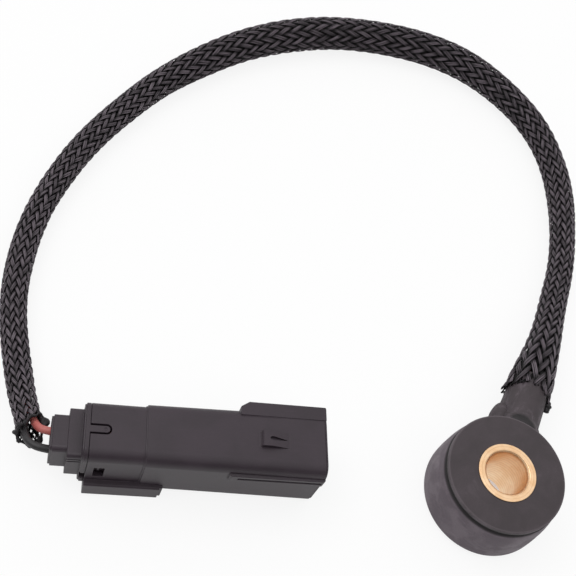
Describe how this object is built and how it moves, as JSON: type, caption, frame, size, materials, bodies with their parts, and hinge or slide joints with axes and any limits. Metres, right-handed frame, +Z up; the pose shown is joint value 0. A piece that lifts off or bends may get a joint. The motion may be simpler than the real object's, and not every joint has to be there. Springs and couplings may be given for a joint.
{
  "type": "engine knock sensor with lead",
  "caption": "Ring-shaped engine knock sensor with a brass bolt bush, a braided lead and a sealed two-way inline connector.",
  "frame": {"origin": "on the bolt bore's axis at the seat, where the bush meets the engine", "axes": "+Z up the bolt bore, away from the engine; +X the way the connector's mouth faces; the lead lies on the plane of the seat"},
  "size_m": [0.1302, 0.1347, 0.0158],
  "materials": {
    "sensor_plastic": "black glass-filled plastic, matt and lightly scuffed",
    "bush_brass": "satin turned brass",
    "insulator_film": "amber film",
    "contact_brass": "stamped brass sheet",
    "piezo_ceramic": "fired ceramic",
    "turned_steel": "turned steel",
    "resistor_body": "glazed chip",
    "tinned_metal": "tin-plated",
    "sleeve_braid": "braided black monofilament",
    "red_insulation": "smooth insulation",
    "black_insulation": "smooth insulation",
    "connector_plastic": "black moulded plastic, fine satin",
    "seal_rubber": "soft silicone",
    "lock_plastic": "pale moulded plastic"
  },
  "bodies": {
    "root": {"sensor_housing": "sensor_plastic", "bush": "bush_brass", "lower_insulator": "insulator_film", "lower_contact": "contact_brass", "piezo_ring": "piezo_ceramic", "upper_contact": "contact_brass", "upper_insulator": "insulator_film", "seismic_mass": "turned_steel", "disc_spring": "turned_steel", "clamp_nut": "turned_steel", "bleed_resistor": "resistor_body", "signal_splice": "tinned_metal", "ground_splice": "tinned_metal", "braided_sleeve": "sleeve_braid", "signal_wire": "red_insulation", "ground_wire": "black_insulation", "connector_housing": "connector_plastic", "rear_cap": "connector_plastic", "wire_seal": "seal_rubber", "signal_blade": "tinned_metal", "ground_blade": "tinned_metal", "terminal_lock": "lock_plastic"}
  },
  "joints": []
}
